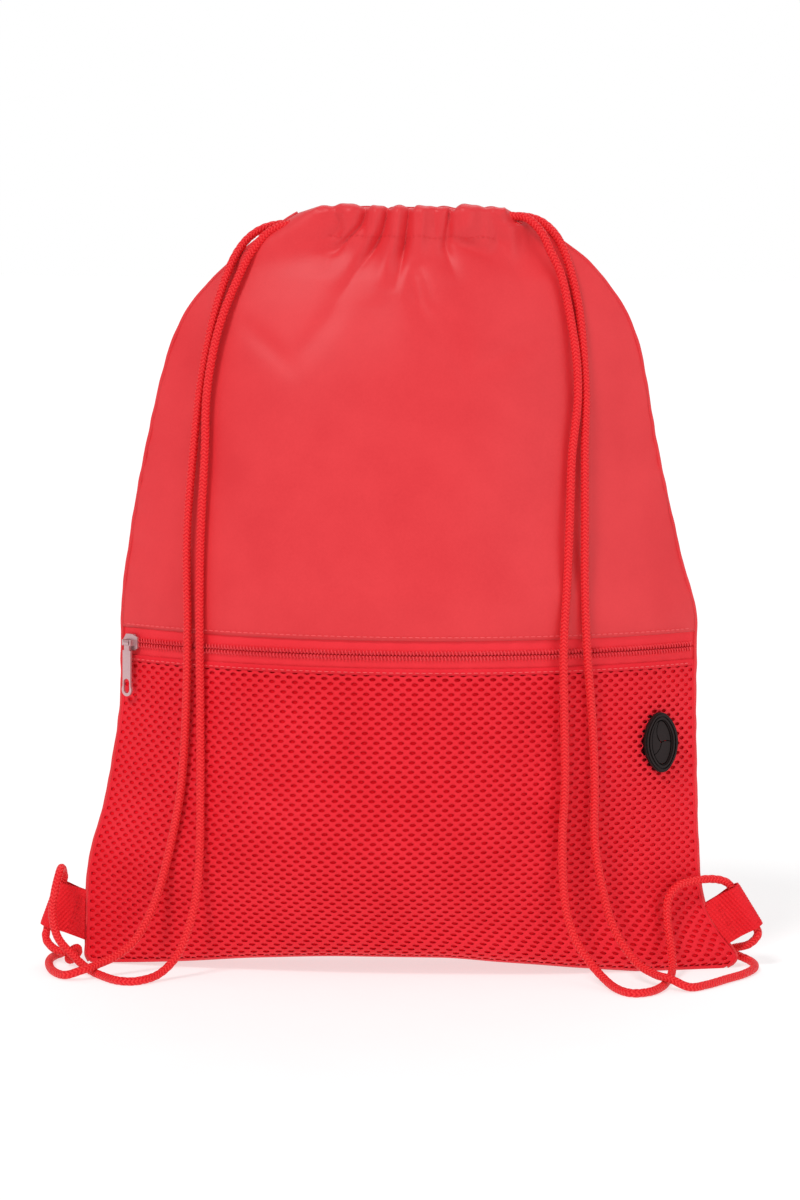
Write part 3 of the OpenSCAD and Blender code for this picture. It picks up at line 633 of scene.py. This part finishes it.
def panel(name, heights, cols, d, mat):
    """One face of the bag over the given heights, rolled over the rim at its top."""
    S, Z = np.meshgrid(rows(-1, 1, cols), heights)
    v = roll(face(S, Z, d), d)
    o = link(name, v.reshape(-1, 3), grid_faces(len(v), cols + 1, flip=d > 0), mat)
    thicken(o, 0.55)
    return o

upper_rows = np.concatenate([rows(178, 330, 76), rows(332, NECK_TOP, 48)])
back_rows = np.concatenate([rows(0, 12, 8), rows(15, 330, 126), rows(332, NECK_TOP, 40)])
upper = panel("upper_panel_cloth", upper_rows, 240, -1, SATIN)
back = panel("back_panel_cloth", back_rows, 180, 1, BACKM)

# ---------- mesh pocket: a sheet of staggered oval holes ----------
MESH_BOTTOM, MESH_TOP = 0.6, 163.2
MESH_COLS, MESH_ROWS = 53, 65
# Pitch of the holes, across in s and up in mm, and the hole's half sizes as shares of it
PITCH, RISE = 2.0 / MESH_COLS, (MESH_TOP - MESH_BOTTOM) / MESH_ROWS
HOLE_HALF_WIDTH, HOLE_HALF_HEIGHT = 0.262, 0.355
# About the pitch across in mm, for the angles of the oval
PITCH_MM = 6.2
# Half sizes of the oval without holes behind the port's flange
PORT_CLEAR = (8.2, 13.8)

def mesh_panel():
    corner = [(0.4075, 0), (0.0925, 1), (-0.0925, 1), (-0.4075, 0), (-0.0925, -1), (0.0925, -1)]
    # Twelve points of each cell: its corners and the middles of its sides
    cell = []
    for k in range(6):
        a, b = corner[k], corner[(k + 1) % 6]
        cell += [a, ((a[0] + b[0]) / 2, (a[1] + b[1]) / 2)]
    oval = []
    for hx, hz in cell:
        ang = math.atan2(hz * RISE, hx * PITCH_MM)
        oval.append((HOLE_HALF_WIDTH * math.cos(ang), HOLE_HALF_HEIGHT * math.sin(ang)))
    ids, S, Z, O, F = {}, [], [], [], []
    def vert(s, z, o, key=None):
        """Index of a new point, or of the one that already has this key."""
        if key is not None and key in ids:
            return ids[key]
        S.append(s)
        Z.append(z)
        O.append(o)
        if key is not None:
            ids[key] = len(S) - 1
        return len(S) - 1
    for j in range(MESH_ROWS + 1):
        for i in range(MESH_COLS + 1):
            cs = -1 + (i + (0.5 if j % 2 else 0)) * PITCH
            cz = MESH_BOTTOM + j * RISE
            if abs(cs) > 1.001 or not MESH_BOTTOM + RISE * 0.5 <= cz <= MESH_TOP - RISE * 0.5:
                continue
            # The rows of holes run in a slight wave
            up = math.sin(math.pi * (cz - MESH_BOTTOM) / (MESH_TOP - MESH_BOTTOM))
            wave = 0.9 * math.sin(cs * 3.2 + 0.6) * up
            x = face(np.array([cs]), np.array([cz]), -1, folds=False)[0][0]
            if ((x - PORT[0]) / PORT_CLEAR[0]) ** 2 + ((cz - PORT[1]) / PORT_CLEAR[1]) ** 2 < 1:
                continue
            outer = []
            for hx, hz in cell:
                s, z = cs + hx * PITCH, cz + hz * RISE
                outer.append(vert(s, z + wave, 0.0, (round(s / PITCH * 400), round(z / RISE * 40))))
            # Inside the cell the cloth goes back to the hole's edge
            mid = [vert(cs + hx * PITCH * 1.2, cz + hz * RISE * 1.28 + wave, -0.02) for hx, hz in oval]
            hole = [vert(cs + hx * PITCH, cz + hz * RISE + wave, -0.22) for hx, hz in oval]
            for k in range(12):
                n = (k + 1) % 12
                F.append((outer[k], outer[n], mid[n], mid[k]))
                F.append((mid[k], mid[n], hole[n], hole[k]))
    v = face(np.clip(S, -1, 1), np.clip(Z, MESH_BOTTOM, MESH_TOP), -1, np.array(O))
    return v, F

def hem(s0, s1, za, zb, ns, nz, out):
    """A plain strip of the front face, out mm in front of it."""
    S, Z = np.meshgrid(np.linspace(s0, s1, ns), np.linspace(za, zb, nz))
    return face(S, Z, -1, out).reshape(-1, 3), grid_faces(nz, ns)

v, f = join([mesh_panel(), hem(-1, -0.989, 0.6, 163, 4, 110, 0.12), hem(0.989, 1, 0.6, 163, 4, 110, 0.12),
             hem(-1, 1, 0.0, 1.9, 180, 4, 0.12), hem(-1, 1, 160.6, 164, 180, 4, 0.15)])
pocket = link("mesh_pocket_cloth", v, f, MESHM)
thicken(pocket, 0.3)

def lining_out(s, z, x):
    """The lining stays just behind the mesh, and eases back under the zip and behind the port."""
    behind_port = -7.5 * bell(x, PORT[0], 8.5) * bell(z, PORT[1], 13)
    return behind_port - 0.75 - 0.25 * (1 - s ** 8) - 2.2 * sstep(156, 166, z) * (1 - s ** 16)

LINING_COLS = 120
S, Z = np.meshgrid(rows(-0.998, 0.998, LINING_COLS), np.concatenate([rows(0.8, 156, 60), rows(158, 178, 10)]))
plain = face(S, Z, -1, folds=False)
v = np.where((Z < 158)[..., None], face(S, Z, -1), plain)
v[..., 1] -= lining_out(S, Z, plain[..., 0])
lining = link("pocket_lining_cloth", v.reshape(-1, 3), grid_faces(len(v), LINING_COLS + 1), LINING)
thicken(lining, 0.4)

# ---------- base: both faces fold under to the bottom seam ----------
BASE_COLS, BASE_ROWS = 161, 25
side = np.linspace(-1, 1, BASE_COLS)
t = np.linspace(0, 1, BASE_ROWS)[:, None]
v = face(side, 0 * side, -1)[None] * (1 - t[..., None]) + face(side, 0 * side, 1)[None] * t[..., None]
sag = np.sin(np.pi * t)
v[..., 2] += 0.35 + 0.9 * sag * (1 - np.abs(side) ** 8)[None] * 0.6
v[..., 2] += 0.25 * np.sin(v[..., 0] * 0.21) * sag
base = link("base_cloth", v.reshape(-1, 3), grid_faces(BASE_ROWS, BASE_COLS, flip=True), BACKM)
thicken(base, 0.5, 1)

# Bottom seam: a rolled edge along the middle of the base
xs = np.linspace(-163, 164, 260)
p = np.stack([xs, 0.25 * np.sin(xs * 0.3), 1.25 + tab(ARCH, xs) + 0.1 * np.sin(xs * 0.9)], 1)
bottom = link("bottom_seam_roll", *sweep(p, lambda i, a: 0.75 + 0.22 * np.abs(np.cos(a)), 8), BACKM)

# ---------- side seams ----------
def side_seam(name, table, d, node):
    """A rolled seam that wavers a little along the outline."""
    z = np.arange(0.9, 392.5, 1.5)
    x = tab(table, z) + 0.1 + 0.12 * np.sin(z * 0.31 + 2 * np.sin(z * 0.045))
    p = np.stack([d * x, 0.35 * np.sin(z * 0.11), z], 1)
    v, f = sweep(p, lambda i, a: 0.9 + 0.2 * np.cos(a) ** 2 + 0.05 * np.sin(i * 0.9), 10)
    o = link(name, v, f, SATIN)
    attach(o, "bag")
    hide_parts(node)

side_seam("side_seam_cloth_left", LEFT, -1, "side_seam_left")
side_seam("side_seam_cloth_right", RIGHT, 1, "side_seam_right")

# ---------- gathered casings ----------
def casing(name, d, node):
    """The casing's inner layer: from just under the rolled edge down the inside of the mouth."""
    xs = np.linspace(-NECK_END, NECK_END, 190)
    g = np.clip(crown(xs, d), -2.6, FOLD_OUT)
    inner = NECK_OUT - 0.5
    out = []
    for k in range(26):
        if k < 9:
            # Over the rim
            a = math.pi * (0.36 + 0.64 * k / 8)
            r, w = inner * math.cos(a), math.cos(a)
            z = NECK_TOP + (2.9 + 0.28 * g + rim(xs, d)) * math.sin(a)
        else:
            # Down the inside
            r, w = -inner + 0.03 * (k - 8), -1.0
            z = np.full_like(xs, NECK_TOP - 0.8 * (k - 8))
        wavy = w * 0.45 * g if w > 0 else -w * 0.3 * np.sin(xs * 0.55) * (1 + 0.04 * k)
        y = NECK_MID + r - xs ** 2 / NECK_SAG + wavy
        out.append(np.stack([xs, d * y, z], 1))
    v = np.array(out)
    o = link(name, v.reshape(-1, 3), grid_faces(len(v), len(xs), flip=d > 0), SATIN)
    thicken(o, 0.5)
    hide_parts(node)
    return o

casing_f = casing("casing_cloth_front", -1, "casing_front")
casing_b = casing("casing_cloth_back", 1, "casing_back")

def stitches(name, curve, length, gap, r, mat):
    """Row of thread: one short rounded bar per stitch along curve (an array of points, mm)."""
    s = np.concatenate([[0], np.cumsum(np.linalg.norm(np.diff(curve, axis=0), axis=1))])
    taper = np.array([0.35, 0.9, 1.0, 0.9, 0.35])
    bars = []
    at = 1.0
    while at + length < s[-1] - 1:
        u = np.linspace(at, at + length, len(taper))
        p = np.stack([np.interp(u, s, curve[:, k]) for k in range(3)], 1)
        bars.append(sweep(p, lambda i, a: r * taper[i], 6))
        at += length + gap
    v, f = join(bars)
    return link(name, v, f, mat)

def casing_stitches(name, d):
    """A row along the casing's foot, kept at even steps in x by moving s until x fits."""
    xs = np.linspace(-NECK_SIDE, NECK_SIDE, 400)
    z = 380.6 + 0.6 * np.sin(xs * 0.4)
    s = xs / np.where(xs < 0, tab(LEFT, z), tab(RIGHT, z))
    for _ in range(4):
        s = s + (xs - face(s, z, d, 0.2)[:, 0]) / 75
    o = stitches(name, face(s, z, d, 0.25), 2.0, 1.0, 0.15, THREAD_DULL)
    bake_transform(o)

casing_stitches("casing_stitch_front", -1)
casing_stitches("casing_stitch_back", 1)

# ---------- zip: everything lies on one arc, seen from above ----------
HALF_WIDTH, BULGE_AT_ZIP = 148.5, 55.0
ZIP_R = (HALF_WIDTH * HALF_WIDTH + BULGE_AT_ZIP * BULGE_AT_ZIP) / (2 * BULGE_AT_ZIP)
ZIP_CENTRE_Y = ZIP_R - BULGE_AT_ZIP - 1.4
ZIP_Z = 170.5
COIL_TURNS = 178

def on_arc(angle, out, z):
    """Points at an angle in degrees along the zip, out mm in front of its arc, at height z."""
    a = np.radians(angle)
    return np.stack([(ZIP_R + out) * np.sin(a), ZIP_CENTRE_Y - (ZIP_R + out) * np.cos(a), z + 0 * a], -1)

def tape(name, z0, z1, node):
    """One half of the zip's tape, slightly wavy between its edges."""
    cols, lines, end, out, wave = 200, 8, 40.75, -0.75, 0.12
    A, Z = np.meshgrid(np.linspace(-end, end, cols), np.linspace(z0, z1, lines))
    bow = wave * np.sin(A * 1.9) * np.sin(np.pi * (Z - z0) / (z1 - z0))
    o = link(name, on_arc(A, out + bow, Z).reshape(-1, 3), grid_faces(lines, cols), TAPE)
    thicken(o, 0.5)
    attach(o, "bag")
    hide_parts(node)

def coil(name, z, node):
    """One half of the zip's coil: turns of a thin wire."""
    t = np.linspace(0, COIL_TURNS, COIL_TURNS * 8 + 1)
    angle = np.linspace(-40.1, 40.1, len(t))
    p = on_arc(angle, 0.6 * np.sin(2 * np.pi * t), z + 1.05 * np.cos(2 * np.pi * t))
    o = link(name, *sweep(p, lambda i, a: 0.36, 6), COIL)
    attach(o, "bag")
    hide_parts(node)

def topstitch(name, out, z, node):
    """A row of stitches beside the zip."""
    o = stitches(name, on_arc(np.linspace(-40, 40, 900), out, z), 2.4, 0.9, 0.24, THREAD)
    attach(o, "bag")
    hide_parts(node)

tape("zip_tape_cloth_upper", ZIP_Z + 0.2, ZIP_Z + 9.6, "zip_tape_upper")
tape("zip_tape_cloth_lower", ZIP_Z - 9.8, ZIP_Z - 0.2, "zip_tape_lower")
coil("zip_coil_turns_upper", ZIP_Z + 1.3, "zip_coil_upper")
coil("zip_coil_turns_lower", ZIP_Z - 1.3, "zip_coil_lower")
topstitch("topstitch_thread_upper", 0.95, 180.0, "topstitch_upper")
topstitch("topstitch_thread_lower", 0.75, 161.9, "topstitch_lower")

# ---------- webbing tabs ----------
# Radius of the loop round the cord, thickness of the webbing and half its width, in mm
LOOP_R, WEB_THICK, WEB_HALF = 3.2, 1.3, 12.5

def web_profile():
    """The strip from the side: the flat part, up to the loop, round it, and the same mirrored."""
    mid = LOOP_R + WEB_THICK / 2
    side = [(-26 + 17 * k / 10, WEB_THICK / 2) for k in range(11)]
    for k in range(1, 6):
        side.append((-9 + 7 * k / 6, WEB_THICK / 2 + (mid * 0.92 - WEB_THICK / 2) * (k / 6) ** 1.2))
    opening = math.radians(113)
    angles = [opening - 2 * opening * k / 20 for k in range(21)]
    loop = [(mid * math.cos(a), mid * math.sin(a)) for a in angles]
    return np.array(side + loop + [(x, -y) for x, y in side[::-1]])

def web_strip():
    """The ribbed strip as a closed mesh of two skins, before it is turned into place."""
    prof = web_profile()
    w = np.linspace(-WEB_HALF, WEB_HALF, 42)
    tang = np.gradient(prof, axis=0)
    tang /= np.linalg.norm(tang, axis=1)[:, None]
    normal = np.stack([-tang[:, 1], tang[:, 0]], 1)
    rib = 0.10 * np.cos(w * 2 * np.pi / 1.55) - 0.25 * np.exp(-(WEB_HALF - np.abs(w)) / 0.6)
    def skin(off, sign):
        q = prof[:, None, :] + normal[:, None, :] * (off + sign * rib)[None, :, None]
        return np.stack([q[..., 0], q[..., 1], np.broadcast_to(w, q.shape[:2])], -1).reshape(-1, 3)
    n, m = len(prof), len(w)
    v = np.vstack([skin(WEB_THICK / 2 - 0.12, 1), skin(-WEB_THICK / 2 + 0.12, -1)])
    f = grid_faces(n, m, flip=True) + [tuple(i + n * m for i in q) for q in grid_faces(n, m)]
    # The four edges that close the two skins
    for i in range(n - 1):
        for j in (0, m - 1):
            q = (i * m + j, (i + 1) * m + j, (i + 1) * m + j + n * m, i * m + j + n * m)
            f.append(q if j == 0 else q[::-1])
    for i in (0, n - 1):
        for j in range(m - 1):
            q = (i * m + j, i * m + j + 1, i * m + j + 1 + n * m, i * m + j + n * m)
            f.append(q[::-1] if i == 0 else q)
    return v, f

def webbing(name, at, turn_z, lean, table, d, node, gap):
    """A tab folded round the cord. Its sewn end stops gap mm off the outline and bends from start to end."""
    turn = Matrix.Rotation(math.radians(turn_z), 3, "Z") @ Matrix.Rotation(math.radians(-lean), 3, "Y")
    turn = np.array(turn)
    v, f = web_strip()
    v = v @ turn.T + np.array(at)
    limit = tab(table, np.clip(v[:, 2], 0, 60)) + gap
    inside = d * v[:, 0] < limit
    v[inside, 0] = d * limit[inside]
    o = link(name, v, f, WEB)
    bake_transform(o)
    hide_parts(node)
    # Two rows of stitching across the flat part, on both sides
    across = np.linspace(-11, 11, 120)
    off = WEB_THICK + 0.08
    thread_rows = [(along, y) for along in (-10.2, -11.8) for y in (-off, off)]
    for i, (along, y) in enumerate(thread_rows):
        line = np.stack([np.full_like(across, along), np.full_like(across, y), across], 1)
        o = stitches(name + "_stitch_%d" % i, line @ turn.T + np.array(at), 2.0, 0.8, 0.2, WEB_THREAD)
        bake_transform(o)

webbing("webbing_left", (-184, 0, 31.1), 180, 20, LEFT, -1, "webbing_tab_left", 0.9)
webbing("webbing_right", (177, 0, 32.6), 0, 32, RIGHT, 1, "webbing_tab_right", 0.3)

# ---------- slider, pull and port: the CAD pieces, with softened edges ----------
METAL_NODES = ("zip_slider_body", "zip_slider_crown", "zip_pull_tab")
RUBBER_NODES = ("port_flange", "port_back_ring", "port_flap_1", "port_flap_2", "port_flap_3")
for names, mat, width in ((METAL_NODES, METAL, 0.00022), (RUBBER_NODES, RUBBER, 0.0003)):
    for n in names:
        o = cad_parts[n]
        o.data.materials.clear()
        o.data.materials.append(mat)
        b = o.modifiers.new("bevel", "BEVEL")
        b.width = width
        b.segments = 3
        b.limit_method = "ANGLE"
        b.angle_limit = math.radians(40)

# ---------- what rides on what ----------
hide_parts("front_upper_panel")
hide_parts("back_panel")
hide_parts("mesh_pocket_panel")
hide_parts("pocket_lining_panel")
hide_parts("bottom_seam")
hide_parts("bottom_seam")
for o in (pocket, lining, bottom, base):
    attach(o, "bag")
for d, mouth, cloths in ((-1, "mouth_front", (upper, casing_f)), (1, "mouth_back", (back, casing_b))):
    for o in cloths:
        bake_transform(o)

# ---------- studio: a plain white floor that glows a little, and a white world ----------
FLOOR_GLOW = 0.6
WORLD_LIGHT = 0.51
me = bpy.data.meshes.new("floor")
me.from_pydata([(-30, -12, 0), (30, -12, 0), (30, 60, 0), (-30, 60, 0)], [], [(0, 1, 2, 3)])
glow = FLOORM.node_tree.nodes["Principled BSDF"]
glow.inputs["Emission Color"].default_value = (1, 1, 1, 1)
glow.inputs["Emission Strength"].default_value = FLOOR_GLOW
floor = bpy.data.objects.new("floor", me)
bpy.context.collection.objects.link(floor)
me.materials.append(FLOORM)

world = bpy.data.worlds.new("studio")
bpy.context.scene.world = world
world.use_nodes = True
wn = world.node_tree
bg = wn.nodes["Background"]
bg.inputs["Color"].default_value = (1, 1, 1, 1)
bg.inputs["Strength"].default_value = WORLD_LIGHT
# The camera sees full white, the bag is lit by less
white = wn.nodes.new("ShaderNodeBackground")
white.inputs["Color"].default_value = (1, 1, 1, 1)
white.inputs["Strength"].default_value = 1.0
ray = wn.nodes.new("ShaderNodeLightPath")
pick = wn.nodes.new("ShaderNodeMixShader")
wn.links.new(ray.outputs["Is Camera Ray"], pick.inputs[0])
wn.links.new(bg.outputs[0], pick.inputs[1])
wn.links.new(white.outputs[0], pick.inputs[2])
wn.links.new(pick.outputs[0], wn.nodes["World Output"].inputs["Surface"])

def sun(name, azimuth, elevation, strength, angle):
    """A sun azimuth degrees left of the camera and elevation degrees up; angle softens its shadows."""
    light = bpy.data.lights.new(name, "SUN")
    light.energy = strength
    light.angle = math.radians(angle)
    o = bpy.data.objects.new(name, light)
    bpy.context.collection.objects.link(o)
    a, e = math.radians(azimuth), math.radians(elevation)
    toward = Vector((-math.sin(a) * math.cos(e), -math.cos(a) * math.cos(e), math.sin(e)))
    o.rotation_euler = toward.to_track_quat("Z", "Y").to_euler()

sun("key", 34, 48, 1.32, 14)
sun("fill", -50, 20, 0.5, 40)
sun("behind", 190, 50, 0.5, 40)
